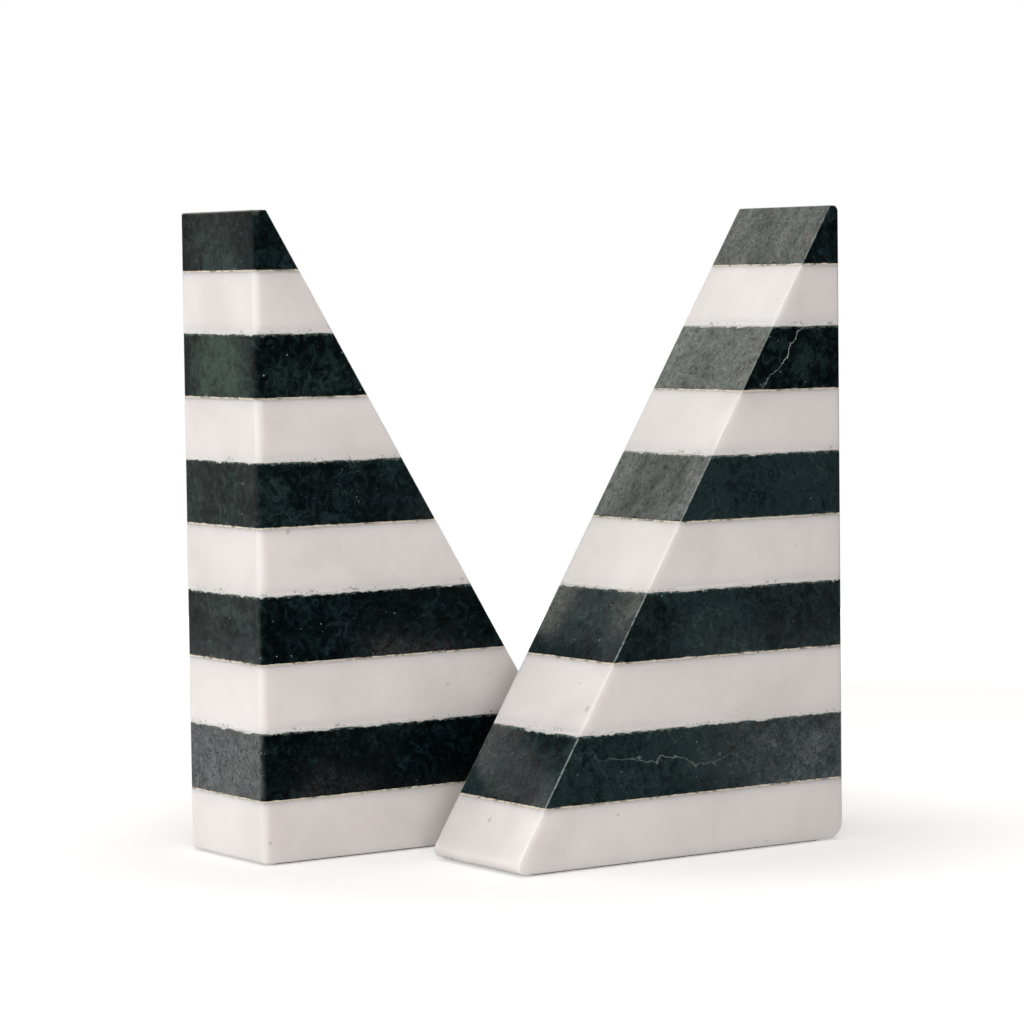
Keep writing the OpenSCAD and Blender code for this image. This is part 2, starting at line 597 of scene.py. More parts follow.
class ChippedArrises(MeshTree):
    """Chips the arrises along a slab's joints.

    Noise picks the stretches that chipped and how far in each chip reaches.
    There the surface moves in along its normal, and the attribute chip says how
    much, for the finish to read.
    """

    title = "Chipped arrises"
    numbers = ("Depth mm", "Reach mm")

    def work(self, tree: NodeTree, given: NodeOutputs, place: NodeSocket, scale: NodeSocket) -> NodeSocket:
        """Move the points and mark the chips.

        Args:
            tree: The node group's tree.
            given: The group's inputs by name.
            place: Where each point is.
            scale: The noise's scale.

        Returns:
            The chipped mesh.
        """
        add = partial(node, tree)
        coarse = add(NOISE, (place, given["Seed"], scale, 3.0, 0.6), noise_dimensions="4D")
        reach = add(RANGE, (coarse, 0.47, 0.72, 0.0, given["Reach mm"]))
        fine_scale = add(MATH, (scale, 4.0), operation="MULTIPLY")
        fine = add(NOISE, (place, given["Seed"], fine_scale, 2.0), noise_dimensions="4D")
        rag = add(RANGE, (fine, 0.3, 0.7, 0.5, 1.3))
        limit = add(MATH, (reach, rag), operation="MULTIPLY")
        edge = add("GeometryNodeInputNamedAttribute", ("edge_mm",), data_type="FLOAT")
        inside = add(MATH, (limit, edge), operation="SUBTRACT")
        chipped = add(RANGE, (inside, 0.0, 0.35), **SMOOTH)
        deeper = add(RANGE, (inside, 0.35, 2.5, 1.0, 2.6))
        depth = add(MATH, (deeper, given["Depth mm"]), operation="MULTIPLY")
        full = add(MATH, (chipped, depth), operation="MULTIPLY")
        uneven = add(MATH, (full, rag), operation="MULTIPLY")
        inward = add(MATH, (uneven, -MM), operation="MULTIPLY")
        move = add(VECTOR, (add("GeometryNodeInputNormal"), inward), operation="SCALE")
        moved = add("GeometryNodeSetPosition", {"Geometry": given["Geometry"], "Offset": move})
        return add("GeometryNodeStoreNamedAttribute",
                   {"Geometry": moved, "Name": "chip", "Value": chipped}, data_type="FLOAT")


class SqueezedResin(MeshTree):
    """Lets a resin bed swell into the chips beside it.

    The attribute swell is 1 on the upper lip of the bed's rim, -1 on the lower
    lip and 0 elsewhere. Noise sets how far each lip rises or sinks.
    """

    title = "Squeezed resin"
    numbers = ("Swell mm",)

    def work(self, tree: NodeTree, given: NodeOutputs, place: NodeSocket, scale: NodeSocket) -> NodeSocket:
        """Raise and sink the lips.

        Args:
            tree: The node group's tree.
            given: The group's inputs by name.
            place: Where each point is.
            scale: The noise's scale.

        Returns:
            The swollen mesh.
        """
        add = partial(node, tree)
        coarse = add(NOISE, (place, given["Seed"], scale, 3.0), noise_dimensions="4D")
        share = add(RANGE, (coarse, 0.48, 0.72, 0.2, 1.0))
        lip = add("GeometryNodeInputNamedAttribute", ("swell",), data_type="FLOAT")
        signed = add(MATH, (share, lip), operation="MULTIPLY")
        height = add(MATH, (signed, given["Swell mm"]), operation="MULTIPLY")
        rise = add(MATH, (height, MM), operation="MULTIPLY")
        move = add("ShaderNodeCombineXYZ", {"Z": rise})
        return add("GeometryNodeSetPosition", {"Geometry": given["Geometry"], "Offset": move})


def grow(name: str, mesh: Mesh, tree: NodeTree, values: dict[str, Any]) -> Object:
    """Run a geometry node tree on a mesh and keep the result as a plain piece.

    Args:
        name: The piece's name.
        mesh: The tree's input.
        tree: The node group.
        values: Input name to value.

    Returns:
        The piece, in the scene.
    """
    piece = put_in_scene(name, mesh)
    modifier = piece.modifiers.new(tree.name, "NODES")
    modifier.node_group = tree
    for item in tree.interface.items_tree:
        if item.in_out == "INPUT" and item.name in values:
            modifier[item.identifier] = values[item.name]
    seen = piece.evaluated_get(bpy.context.evaluated_depsgraph_get())
    grown = bpy.data.meshes.new_from_object(seen)
    piece.modifiers.remove(modifier)
    piece.data = grown
    bpy.data.meshes.remove(mesh)
    return piece


def levels(*runs: Sequence[float], least: float = 0.04) -> list[float]:
    """Merge runs of heights into one rising list.

    Args:
        runs: Lists of heights.
        least: Heights closer than this to the one below are left out.

    Returns:
        The merged heights.
    """
    merged: list[float] = []
    for height in sorted(h for run in runs for h in run):
        if not merged or height - merged[-1] >= least:
            merged.append(height)
    return merged


def arc_heights(radius: float, steps: int, turn: float = math.pi / 2) -> list[float]:
    """Give the heights of even steps up an arc that starts level."""
    return [radius * (1 - math.cos(turn * step / steps)) for step in range(steps + 1)]


def arc_gap(radius: float, height: float) -> float:
    """Tell how far a quarter circle at a corner holds the face back at a height."""
    return radius - math.sqrt(max(radius ** 2 - max(radius - height, 0.0) ** 2, 0.0))


@dataclass
class BlockShape:
    """Outline of one book end's stone, read from the solids in the frame.

    In the block's own axes x runs from the upright face to the toe, y from the
    near face to the far one and h up from the stone's underside.
    """

    side: Side
    toe_r: float = 2.8
    upright_edge_r: float = 2.0
    slope_edge_r: float = 0.35
    flat_edge_r: float = 0.4
    heel_r: float = field(init=False)
    crown_r: float = field(init=False)
    underside: float = field(init=False)
    height: float = field(init=False)
    width: float = field(init=False)
    base_l: float = field(init=False)
    top_l: float = field(init=False)
    near: float = field(init=False)
    upright: float = field(init=False)

    HEEL_AND_CROWN: ClassVar[dict[Side, tuple[float, float]]] = {
        Side.LEFT: (1.2, 0.8), Side.RIGHT: (5.3, 2.0),
    }

    def __post_init__(self) -> None:
        """Read the block's sizes from the boxes of its slabs."""
        self.heel_r, self.crown_r = self.HEEL_AND_CROWN[self.side]
        low_1, high_1 = self.box_of(1, Stone.WHITE)
        low_2, high_2 = self.box_of(2, Stone.DARK)
        low_8, high_8 = self.box_of(8, Stone.DARK)
        high_10 = self.box_of(10, Stone.DARK)[1]
        self.underside = low_1[2]
        self.height = high_10[2] - self.underside
        self.width = high_1[1] - low_1[1]
        length_2, length_8 = high_2[0] - low_2[0], high_8[0] - low_8[0]
        fall = (length_2 - length_8) / (low_8[2] - low_2[2])
        self.base_l = length_2 + fall * (low_2[2] - self.underside)
        self.top_l = self.base_l - fall * self.height
        self.near = low_1[1]
        self.upright = low_2[0] if self.side is Side.LEFT else high_2[0]

    def box_of(self, number: int, stone: Stone) -> tuple[np.ndarray, np.ndarray]:
        """Give the lowest and highest corners of a slab's solid in millimetres."""
        low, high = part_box(f"{self.side.value}_slab_{number}_{stone.value}")
        return np.array(low) / MM, np.array(high) / MM

    @property
    def toe_angle(self) -> float:
        """Angle between the underside and the slope."""
        return math.atan2(self.height, self.base_l - self.top_l)

    def upright_at(self, h: float) -> float:
        """Give x of the upright face at a height."""
        return arc_gap(self.heel_r, h) + arc_gap(self.crown_r, self.height - h)

    def slope_at(self, h: float) -> float:
        """Give x of the slope at a height, with the toe rolled under.

        Args:
            h: Height above the stone's underside.

        Returns:
            How far the slope is from the upright face.
        """
        tangent = self.toe_r / math.tan(self.toe_angle / 2)
        if h < tangent * math.sin(self.toe_angle):
            return self.base_l - tangent + math.sqrt(max(self.toe_r ** 2 - (h - self.toe_r) ** 2, 0.0))
        return self.base_l - h / math.tan(self.toe_angle) - 0.5 * arc_gap(self.flat_edge_r, self.height - h)

    def inset_at(self, h: float) -> float:
        """Tell how far the near and far faces are held in at a height."""
        return arc_gap(self.flat_edge_r, h) + arc_gap(self.flat_edge_r, self.height - h)

    def counts(self, h: float, spacing: float, on_front: int, on_back: int) -> tuple[int, ...]:
        """Count the points of a section.

        Args:
            h: Height at which the long faces are measured.
            spacing: Distance between points on the flat faces.
            on_front: Points round a slope edge.
            on_back: Points round an upright edge.

        Returns:
            Points on a long face, slope, upright face, slope edge and upright edge.
        """
        on_width = math.ceil(self.width / spacing)
        return (math.ceil(self.slope_at(h) / spacing), on_width, on_width, on_front, on_back)

    def outline(self, h: float, counts: Sequence[int], inset: float = 0.0) -> np.ndarray:
        """Draw the block's section at a height, as points that run anticlockwise.

        Args:
            h: Height above the stone's underside.
            counts: Points on each face and round each edge, as counts gives them.
            inset: How far the section is drawn in all round.

        Returns:
            One row for each point: x, y and how far it is from a slope edge.
        """
        on_face, on_slope, on_upright, on_front, on_back = counts
        x0, x1 = self.upright_at(h) + inset, self.slope_at(h) - inset
        y0, y1 = self.inset_at(h) + inset, self.width - self.inset_at(h) - inset
        front = min(self.slope_edge_r, 0.4 * (x1 - x0))
        back = min(self.upright_edge_r, 0.5 * (x1 - x0))
        corners = (
            (x1 - front, y0 + front, front, -90, on_front, on_slope),
            (x1 - front, y1 - front, front, 0, on_front, on_face),
            (x0 + back, y1 - back, back, 90, on_back, on_upright),
            (x0 + back, y0 + back, back, 180, on_back, on_face),
        )
        points: list[np.ndarray] = []
        for place, (x, y, radius, start, steps, straight) in enumerate(corners):
            turn = np.radians(start + 90 * np.arange(steps) / (steps - 1))
            points.append(np.stack([x + radius * np.cos(turn), y + radius * np.sin(turn)], axis=1))
            nx, ny, next_r, next_start, *_ = corners[(place + 1) % 4]
            next_turn = math.radians(next_start)
            far = np.array([nx + next_r * math.cos(next_turn), ny + next_r * math.sin(next_turn)])
            share = (np.arange(1, straight + 1) / (straight + 1))[:, None]
            points.append(points[-1][-1] * (1 - share) + far * share)
        ring = np.concatenate(points)
        across = np.maximum(x1 - front - ring[:, 0], 0)
        along = np.maximum(np.minimum(ring[:, 1] - y0, y1 - ring[:, 1]) - front, 0)
        return np.column_stack([ring, across + along])

    def to_frame(self, points: np.ndarray, h: float) -> np.ndarray:
        """Move points of one section into the shared frame, in metres.

        Args:
            points: Rows that start with x and y in the block's own axes.
            h: Their height above the stone's underside.

        Returns:
            Rows of x, y and z.
        """
        along = 1.0 if self.side is Side.LEFT else -1.0
        x = self.upright + along * points[:, 0]
        y = self.near + points[:, 1]
        return np.stack([x, y, np.full(len(points), h + self.underside)], axis=1) * MM

    def loft(self, name: str, rings: Sequence[np.ndarray]) -> Mesh:
        """Skin a closed mesh over sections that rise, with a flat face at each end.

        Args:
            name: The mesh's name.
            rings: Sections in the shared frame, all with as many points.

        Returns:
            The mesh, with its faces outward.
        """
        count = len(rings[0])
        index = np.arange(count)
        after = (index + 1) % count
        quads = [
            np.stack([index + low, after + low, after + low + count, index + low + count], axis=1)
            for low in (count * ring for ring in range(len(rings) - 1))
        ]
        faces: list[list[int]] = np.concatenate(quads).tolist()
        faces.append(list(range(count))[::-1])
        faces.append([count * (len(rings) - 1) + i for i in range(count)])
        if self.side is Side.RIGHT:
            faces = [f[::-1] for f in faces]
        mesh = bpy.data.meshes.new(name)
        mesh.from_pydata(np.concatenate(rings).tolist(), [], faces)
        mesh.polygons.foreach_set("use_smooth", [True] * len(faces))
        mesh.update()
        return mesh


def put_attribute(mesh: Mesh, name: str, values: np.ndarray) -> None:
    """Store one number for each vertex of a mesh, under a name that materials can read."""
    mesh.attributes.new(name, "FLOAT", "POINT").data.foreach_set("value", values.astype(np.float32))


@dataclass(frozen=True)
class Workshop:
    """The finishes and node groups that both book ends are made with."""

    marbles: dict[Stone, Material]
    resin: Material
    felt: Material
    chips: NodeTree
    squeeze: NodeTree


@dataclass(frozen=True)
class Spot:
    """A round patch of a slab, in the block's own axes, in millimetres."""

    x: float
    y: float
    h: float
    radius: float

    def distance(self, points: np.ndarray) -> np.ndarray:
        """Tell how far points with rows of x, y and h are from the middle."""
        return np.linalg.norm(points - np.array([self.x, self.y, self.h]), axis=1)


@dataclass(frozen=True)
class Vein:
    """A crack through a slab that healed white, square to the near face."""

    spot: Spot
    tilt_deg: float
    share: float

    def offset(self, points: np.ndarray) -> np.ndarray:
        """Tell how far points with rows of x, y and h lie off the crack's plane, signed."""
        tilt = math.radians(self.tilt_deg)
        return (points[:, 2] - self.spot.h) * math.cos(tilt) - (points[:, 0] - self.spot.x) * math.sin(tilt)

    def strength(self, points: np.ndarray) -> np.ndarray:
        """Tell how much of the crack is white at points, most at its spot."""
        return self.share * np.exp(-(self.spot.distance(points) / self.spot.radius) ** 2)


FromSide = tuple[float, float, float]


@dataclass(frozen=True)
class Figure:
    """What one slab has of its own: polish, pale and leafy crystal, damage.

    The first three hold amounts for the middle of an end face, for its rim and
    for the near and far faces. The pale amounts for the near and far faces are
    partly painted light: mostly paler on the right book end, whose near faces
    mirror the bright floor, and darker on the left one, whose near face stands
    in the other book end's shade.
    """

    polish: FromSide = (1.0, 1.0, 1.0)
    pale: FromSide = (0.0, 0.0, 0.0)
    leafy: FromSide = (0.0, 0.0, 0.0)
    vein: Vein | None = None
    nicks: tuple[Spot, ...] = ()

    STEPS: ClassVar[tuple[float, ...]] = (0.1, 0.8, 4.0, 14.0)

    def spread(self, inward: np.ndarray) -> dict[str, np.ndarray]:
        """Spread the amounts over a slab.

        Args:
            inward: How far each point lies from the nearer long face.

        Returns:
            Values for the points, by the attribute's name.
        """
        return {key: np.interp(inward, self.STEPS, [side, rim, rim, centre])
                for key, (centre, rim, side) in
                (("polish", self.polish), ("pale", self.pale), ("leafy", self.leafy))}


# The last pale value of each slab, for its near and far faces, is partly painted light: mostly paler on the
# right book end, which mirrors the bright floor, and darker on the left one, in the other book end's shade.
FIGURES = {
    "left_1": Figure(nicks=(Spot(0.6, 0.5, 19.4, 1.5),)),
    "left_2": Figure(polish=(1.0, 1.0, 0.35), pale=(-1.4, -1.4, -1.9)),
    "left_4": Figure(polish=(1.2, 1.1, 0.6), pale=(-0.6, -0.6, -1.4), leafy=(0.5, 0.3, 0.0),
                     vein=Vein(Spot(70.0, 46.0, 72.0, 24.0), -12.0, 0.6),
                     nicks=(Spot(0.5, 0.5, 82.6, 1.1),)),
    "left_6": Figure(polish=(0.95, 1.0, 1.0), leafy=(0.45, 0.2, 0.0)),
    "left_8": Figure(polish=(1.6, 0.7, 0.75), pale=(0.6, 0.0, -1.2), leafy=(1.0, 0.2, 0.3),
                     vein=Vein(Spot(30.0, 46.0, 152.0, 16.0), 38.0, 0.7)),
    "left_10": Figure(polish=(1.05, 0.7, 1.0), leafy=(0.4, 0.1, 0.0),
                      nicks=(Spot(0.6, 0.4, 200.0, 1.5), Spot(0.4, 0.6, 195.5, 0.5))),
    "right_2": Figure(polish=(0.65, 1.4, 1.3), pale=(1.0, 1.5, 2.1),
                      vein=Vein(Spot(72.0, 0.0, 31.0, 22.0), 4.0, 0.4)),
    "right_4": Figure(polish=(0.16, 0.7, 1.25), pale=(0.8, 1.0, 1.3)),
    "right_6": Figure(polish=(0.75, 1.2, 1.3), pale=(1.0, 1.6, 2.8),
                      vein=Vein(Spot(25.0, 46.0, 113.0, 18.0), 65.0, 0.7),
                      nicks=(Spot(0.5, 0.4, 123.5, 1.1),)),
    "right_8": Figure(polish=(1.1, 1.3, 0.7), pale=(0.0, 0.0, -0.9), leafy=(1.0, 1.0, 0.2),
                      vein=Vein(Spot(21.0, 0.0, 155.0, 13.0), -47.0, 0.9)),
    "right_10": Figure(polish=(0.9, 1.0, 0.9), nicks=(Spot(4.6, 0.0, 200.0, 0.7),)),
}


@dataclass
class Slab:
    """One marble slab, with softened arrises and chips along its joints.

    A slab at an end of the block has no joint on that side: NO_JOINT is the
    distance stored there, well past the reach of any chip or stain.
    """

    block: BlockShape
    number: int
    stone: Stone
    count: int = 10
    spacing: float = 0.38
    least_step: float = 0.03
    base_rim: float = 0.8
    top_rim: float = 0.3

    SLOTS: ClassVar[dict[Stone, str]] = {Stone.WHITE: "white_marble", Stone.DARK: "green_marble"}
    CHIPS: ClassVar[dict[Stone, dict[str, float]]] = {
        Stone.WHITE: {"Depth mm": 0.03, "Reach mm": 0.35, "Grain mm": 2.6},
        Stone.DARK: {"Depth mm": 0.20, "Reach mm": 0.80, "Grain mm": 3.6},
    }
    EDGE_STEPS: ClassVar[tuple[float, ...]] = (0, 0.12, 0.26, 0.42, 0.62, 0.88, 1.2, 1.7, 2.5, 3.6, 5.4)
    NO_JOINT: ClassVar[float] = 60.0

    @property
    def name(self) -> str:
        """Name of the slab's solid in the frame."""
        return f"{self.block.side.value}_slab_{self.number}_{self.stone.value}"

    @property
    def slot(self) -> str:
        """The record's slot for the slab's marble."""
        return self.SLOTS[self.stone]

    @property
    def seed(self) -> float:
        """The slab's own number, which sets its figure and its chips."""
        return 1.7 * self.number + (0.0 if self.block.side is Side.LEFT else 23.1)

    def heights(self, low: float, high: float) -> list[float]:
        """Choose the heights of the sections: close together at joints and arcs.

        Args:
            low: Height of the slab's underside.
            high: Height of its top.

        Returns:
            Rising heights, from low to high.
        """
        up = [low + step for step in self.EDGE_STEPS]
        down = [high - step for step in self.EDGE_STEPS]
        middle = [low + (high - low) * share for share in (0.4, 0.5, 0.6)]
        if self.number == 1:
            up = [low + h for h in levels(
                arc_heights(self.block.toe_r, steps=14, turn=math.pi - self.block.toe_angle),
                arc_heights(self.block.heel_r, steps=8), arc_heights(self.block.flat_edge_r, steps=4),
            )]
        if self.number == self.count:
            down = [high - h for h in levels(arc_heights(self.block.crown_r, steps=8),
                                             arc_heights(self.block.flat_edge_r, steps=5),
                                             self.EDGE_STEPS[5:])]
        inner = [h for h in levels(up, down, middle) if low + self.least_step < h < high - self.least_step]
        return [low, *inner, high]

    def build(self) -> Mesh:
        """Loft the slab's mesh and store what the chips and the finish read.

        Returns:
            The mesh, not yet chipped.
        """
        block = self.block
        low_box, high_box = block.box_of(self.number, self.stone)
        low, high = low_box[2] - block.underside, high_box[2] - block.underside
        heights = self.heights(low, high)
        insets = [0.0] * len(heights)
        if self.number == 1:
            heights, insets = [low, *heights], [self.base_rim, *insets]
        if self.number == self.count:
            heights, insets = [*heights, high], [*insets, self.top_rim]
        counts = block.counts((low + high) / 2, self.spacing, on_front=6, on_back=9)
        outlines = [block.outline(h, counts, inset) for h, inset in zip(heights, insets)]
        mesh = block.loft(self.name, [block.to_frame(o, h) for o, h in zip(outlines, heights)])

        rows = np.concatenate(outlines)
        h = np.repeat(np.array(heights), len(outlines[0]))
        above = np.full(len(h), self.NO_JOINT) if self.number == self.count else high - h
        below = np.full(len(h), self.NO_JOINT) if self.number == 1 else h - low
        points = np.column_stack([rows[:, :2], h])
        figure = FIGURES.get(f"{block.side.value}_{self.number}", Figure())
        edge = np.minimum(above, below)
        for nick in figure.nicks:
            edge = np.minimum(edge, nick.distance(points) - nick.radius)
        stored = figure.spread(np.minimum(rows[:, 1], block.width - rows[:, 1]))
        stored |= {"joint_above_mm": above, "joint_below_mm": below, "arris_mm": rows[:, 2],
                   "edge_mm": edge, "slab_seed": np.full(len(h), self.seed)}
        if figure.vein:
            stored |= {"vein_mm": figure.vein.offset(points), "veined": figure.vein.strength(points)}
        for key, values in stored.items():
            put_attribute(mesh, key, values)
        return mesh

    def dress(self, workshop: Workshop) -> Object:
        """Chip the slab and finish it.

        Args:
            workshop: Where the node group and the finish come from.

        Returns:
            The finished piece.
        """
        return grow(f"{self.name}_stone", self.build(), workshop.chips, {
            **self.CHIPS[self.stone], "Seed": self.seed, "Material": workshop.marbles[self.stone]})


@dataclass
class ResinBed:
    """The resin between two slabs, a hair below the stone's face at its rim."""

    block: BlockShape
    number: int
    spacing: float = 0.45
    recess: float = 0.02
    lip: float = 0.9
    swell: float = 0.25
    grain: float = 2.2

    slot: ClassVar[str] = "bond_resin"

    @property
    def name(self) -> str:
        """Name of the bed's solid in the frame."""
        return f"{self.block.side.value}_bond_{self.number}"

    def build(self) -> Mesh:
        """Loft the bed's mesh, with a lip above and below at its rim.

        Returns:
            The mesh, not yet squeezed.
        """
        block = self.block
        low, high = (np.array(corner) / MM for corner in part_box(self.name))
        bottom, top = low[2] - block.underside, high[2] - block.underside
        counts = block.counts(bottom, self.spacing, on_front=5, on_back=7)
        below = ((self.lip + 0.6, 0.0), (self.lip, 0.3), (2.5 * self.recess, 1.0), (self.recess, 0.8))
        sections = [(bottom, inset, 0.0 - swell) for inset, swell in below]
        sections += [(top, inset, swell) for inset, swell in reversed(below)]
        rings = [block.to_frame(block.outline(h, counts, inset), h) for h, inset, _ in sections]
        mesh = block.loft(self.name, rings)
        put_attribute(mesh, "swell", np.repeat([swell for *_, swell in sections], len(rings[0])))
        put_attribute(mesh, "tan", np.full(len(mesh.vertices), float(self.number % 2)))
        return mesh

    def dress(self, workshop: Workshop) -> Object:
        """Squeeze the bed into the chips beside it and finish it.

        Args:
            workshop: Where the node group and the finish come from.

        Returns:
            The finished piece.
        """
        return grow(f"{self.name}_resin", self.build(), workshop.squeeze, {
            "Swell mm": self.swell, "Grain mm": self.grain, "Seed": 3.1 * self.number,
            "Material": workshop.resin})


@dataclass
class FeltPad:
    """The felt sheet under one book end, with a soft cut edge."""

    block: BlockShape
    corner_r: float = 3.0
    edge_r: float = 0.35
    waver: float = 0.12
    points_round: int = 480

    slot: ClassVar[str] = "felt"

    @property
    def name(self) -> str:
        """Name of the pad's solid in the frame."""
        return f"{self.block.side.value}_felt_pad"

    def dress(self, workshop: Workshop) -> Object:
        """Build the pad, finish it and lay it as a sheet.

        Args:
            workshop: Where the felt comes from.

        Returns:
            The finished piece.
        """
        low, high = (np.array(corner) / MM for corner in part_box(self.name))
        arc = arc_heights(self.edge_r, steps=4)
        steps = levels(arc, [high[2] - h for h in arc])
        sections = [(arc_gap(self.edge_r, h) + arc_gap(self.edge_r, high[2] - h), h) for h in steps]
        sections = [(3 * self.edge_r, 0.0), *sections, (3 * self.edge_r, high[2])]
        mesh = self.block.loft(self.name, [self.ring(low, high, inset, h) for inset, h in sections])
        if self.block.side is Side.RIGHT:
            mesh.flip_normals()
        mesh.materials.append(workshop.felt)
        piece = put_in_scene(f"{self.name}_cut", mesh)
        return piece

    def ring(self, low: np.ndarray, high: np.ndarray, inset: float, h: float) -> np.ndarray:
        """Draw the pad's outline at a height, wavering a little as cut felt does.

        Args:
            low: Lowest corner of the pad's solid in millimetres.
            high: Highest corner of it.
            inset: How far the outline is drawn in.
            h: Height of the section.

        Returns:
            Rows of x, y and z in metres, anticlockwise.
        """
        (x0, y0), (x1, y1) = low[:2] + self.corner_r, high[:2] - self.corner_r
        radius = self.corner_r - inset
        corners = [[x + radius * math.cos(turn), y + radius * math.sin(turn)]
                   for x, y, start in ((x1, y0, -90), (x1, y1, 0), (x0, y1, 90), (x0, y0, 180))
                   for turn in np.radians(start + np.linspace(0, 90, 9))]
        closed = np.array([*corners, corners[0]])
        run = np.concatenate([[0.0], np.cumsum(np.linalg.norm(np.diff(closed, axis=0), axis=1))])
        at = np.linspace(0.0, run[-1], self.points_round, endpoint=False)
        x, y = (np.interp(at, run, closed[:, axis]) for axis in (0, 1))
        middle = (low + high)[:2] / 2
        turn = 2 * math.pi * at / run[-1]
        dip = self.waver * (0.5 + 0.5 * np.sin(37 * turn + 1.3) * np.sin(11 * turn))
        scale = 1 - dip[:, None] / np.linalg.norm(np.stack([x, y], axis=1) - middle, axis=1)[:, None]
        flat = middle + (np.stack([x, y], axis=1) - middle) * scale
        return np.column_stack([flat, np.full(len(flat), h)]) * MM


@dataclass
class BookEnd:
    """One book end: ten slabs, nine resin beds and a felt pad."""

    side: Side
    workshop: Workshop
    slab_count: int = 10

    def build(self) -> None:
        """Make every piece, hang it on its book end's body, and hide the solid that it stands in for."""
        block = BlockShape(self.side)
        slabs = [Slab(block, number, Stone.WHITE if number % 2 else Stone.DARK, self.slab_count)
                 for number in range(1, self.slab_count + 1)]
        beds = [ResinBed(block, slab.number) for slab in slabs[:-1]]
        for made in (*slabs, *beds, FeltPad(block)):
            piece = made.dress(self.workshop)
            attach(piece, f"{self.side.value}_book_end")
            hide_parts(made.name)
            made.slot
            LOG.info("%s: %d faces, for %s", piece.name, len(piece.data.polygons), made.name)


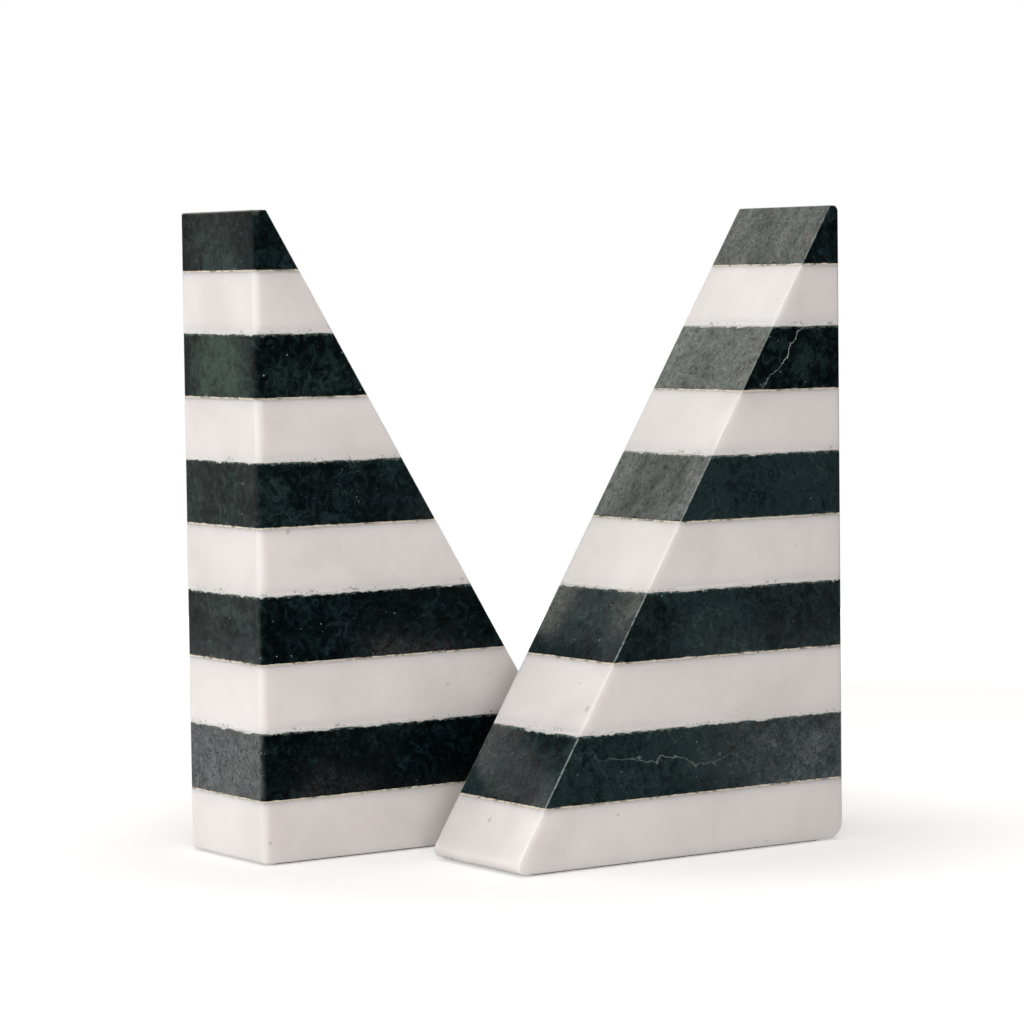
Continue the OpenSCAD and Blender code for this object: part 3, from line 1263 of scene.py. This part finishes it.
@dataclass
class Studio:
    """Pale floor, soft lamps, bright backdrop light and the camera."""

    eye_mm: tuple[float, float, float] = (-656.7, -956.4, 177.0)
    heading_deg: float = 34.44
    pitch_deg: float = 3.53
    roll_deg: float = 0.717
    lens_mm: float = 129.6
    fill: float = 0.20
    floor_r: float = 0.85
    floor_hex: str = "#E8E6E3"
    floor_glow: float = 0.38
    front_reflection_glow: float = 0.90
    back_reflection_glow: float = 1.70
    aim: tuple[float, float, float] = (0.0, 0.0, 0.09)

    def build(self) -> None:
        """Make the camera, the floor, the lamps and the world."""
        self.camera()
        self.floor()
        self.lamps()
        self.world()

    def camera(self) -> None:
        """Stand the camera a little below the top of the book ends, looking slightly down."""
        data = bpy.data.cameras.new("camera")
        data.lens = self.lens_mm
        data.sensor_width = 36.0
        data.clip_start = 0.05
        camera = put_in_scene("camera", data)
        pitch, heading = math.radians(self.pitch_deg), math.radians(self.heading_deg)
        ahead = Vector((math.sin(heading) * math.cos(pitch), math.cos(heading) * math.cos(pitch),
                        -math.sin(pitch)))
        camera.location = Vector(self.eye_mm) * MM
        level = ahead.to_track_quat("-Z", "Y").to_matrix().to_4x4()
        roll = Matrix.Rotation(math.radians(-self.roll_deg), 4, Vector((0, 0, 1)))
        camera.rotation_euler = (level @ roll).to_euler()
        bpy.context.scene.camera = camera

    def floor(self) -> None:
        """Lay a round pale floor, white to the camera, with its shadow kept. In reflections it shows only a
        painted glow that lights nothing: a pool behind the left book end and a glow over the floor's
        right-hand side, fading with distance.
        """
        mesh = bpy.data.meshes.new("floor")
        rim = [(self.floor_r * math.cos(a), self.floor_r * math.sin(a), 0.0)
               for a in np.linspace(0, 2 * math.pi, 96, endpoint=False)]
        mesh.from_pydata(rim, [], [list(range(len(rim)))])
        material = new_material("floor_paper")
        tree = material.node_tree
        add = partial(node, tree)
        paper = add("ShaderNodeBsdfDiffuse", {"Color": linear(self.floor_hex)})
        place = add(PLACE, out="Object")
        away = add(VECTOR, (place,), out="Value", operation="LENGTH")
        # For the camera a glow lifts the paper to white. It is weaker within about 0.2 m of the middle, so
        # the floor round the book ends stays a little grey even out of their shadow: a faint painted shade,
        # besides keeping that shadow.
        outer = add(RANGE, (away, 0.45, 0.80, 0.0, 0.5), **SMOOTH)
        inner = add(RANGE, (away, 0.09, 0.20, self.floor_glow, 0.55), **SMOOTH)
        glowing = add(MATH, (inner, outer), operation="ADD")
        glow = add("ShaderNodeEmission", (CLEAR_WHITE, glowing))
        sheet = add("ShaderNodeAddShader", (paper, glow))
        # Painted reflection: reflected rays see the floor glow in a pool behind the left book end and over
        # its right-hand side, fading with distance. This glow lights nothing.
        gap = add(VECTOR, (place, (-0.32, 0.20, 0.0)), operation="DISTANCE", out="Value")
        reflected_pool_glow = add(RANGE, (gap, 0.10, 0.42, self.back_reflection_glow, 0.0))
        aside = add(VECTOR, (place, (1.0, 0.68, 0.0)), operation="DOT_PRODUCT", out="Value")
        reflected_side_glow = add(RANGE, (aside, -0.005, 0.055, 0.0, self.front_reflection_glow), **SMOOTH)
        reach = add(RANGE, (away, 0.25, 0.80, 1.0, 0.1))
        reflected_side_glow = add(MATH, (reflected_side_glow, reach), operation="MULTIPLY")
        level = add(MATH, (reflected_pool_glow, reflected_side_glow), operation="MAXIMUM")
        mirrored = add("ShaderNodeEmission", (CLEAR_WHITE, level))
        path = add("ShaderNodeLightPath", out="Is Camera Ray").node.outputs
        shone = add("ShaderNodeMixShader", (path["Is Glossy Ray"], paper, mirrored))
        shown = add("ShaderNodeMixShader", (path["Is Camera Ray"], shone, sheet))
        add("ShaderNodeOutputMaterial", (shown,))
        mesh.materials.append(material)
        put_in_scene("floor", mesh)

    def lamps(self) -> None:
        """Hang one lamp overhead and set three low ones along the left."""
        for name, place, size, watts, tint in (
            ("overhead", (0.00, 0.10, 1.50), 1.4, 8.8, "#FFFFFF"),
            ("far_left", (-0.90, 0.75, 0.20), 0.5, 3.3, "#FFFFFF"),
            ("left", (-1.50, 0.30, 0.20), 0.8, 7.9, "#FFFFFF"),
            ("near_left", (-0.32, -0.58, 0.15), 0.4, 2.25, "#FFFCFD"),
        ):
            data = bpy.data.lights.new(name, "AREA")
            data.shape = "DISK"
            data.size = size
            data.energy = watts
            data.color = linear(tint)[:3]
            lamp = put_in_scene(name, data)
            lamp.location = place
            lamp.visible_camera = False
            lamp.visible_glossy = False
            beam = Vector(self.aim) - Vector(place)
            lamp.rotation_euler = beam.to_track_quat("-Z", "Y").to_euler()

    def world(self) -> None:
        """Fill the room softly from all round.

        What a polished face mirrors is the room's far side, white overhead and
        greyer low down, while the side behind the camera is dark.
        """
        world = bpy.data.worlds.new("studio")
        world.use_nodes = True
        tree = world.node_tree
        tree.nodes.clear()
        add = partial(node, tree)
        path = add("ShaderNodeLightPath", out="Is Camera Ray").node.outputs
        toward = add(PLACE, out="Generated")
        behind = add(VECTOR, (toward, (-0.35, 0.94, 0.0)), operation="DOT_PRODUCT", out="Value")
        wall = add(RANGE, (behind, -0.2, 0.6, 0.02, 0.30), **SMOOTH)
        up = add("ShaderNodeSeparateXYZ", (toward,), out="Z")
        rise = add(RANGE, (up, 0.25, 0.55), **SMOOTH)
        mirrored = add(MIX, (rise, wall, 1.7), data_type="FLOAT")
        room = add(MIX, (path["Is Glossy Ray"], self.fill, mirrored), data_type="FLOAT")
        strength = add(MIX, (path["Is Camera Ray"], room, 1.0), data_type="FLOAT")
        tint = add(MIX, (path["Is Glossy Ray"], CLEAR_WHITE, linear("#FFFDF2")), data_type="RGBA")
        light = add("ShaderNodeBackground", (tint, strength))
        add("ShaderNodeOutputWorld", (light,))
        bpy.context.scene.world = world


def main() -> None:
    """Build the studio and both book ends."""
    logging.basicConfig(level=logging.INFO, format="%(name)s: %(message)s")
    bpy.context.scene.view_settings.view_transform = "Standard"
    Studio().build()
    workshop = Workshop(
        marbles={Stone.WHITE: WhiteMarble().build(), Stone.DARK: GreenMarble().build()},
        resin=SandedResin().build(),
        felt=PressedFelt().build(),
        chips=ChippedArrises().build(),
        squeeze=SqueezedResin().build(),
    )
    for side in Side:
        BookEnd(side, workshop).build()


if __name__ == "__main__":
    main()
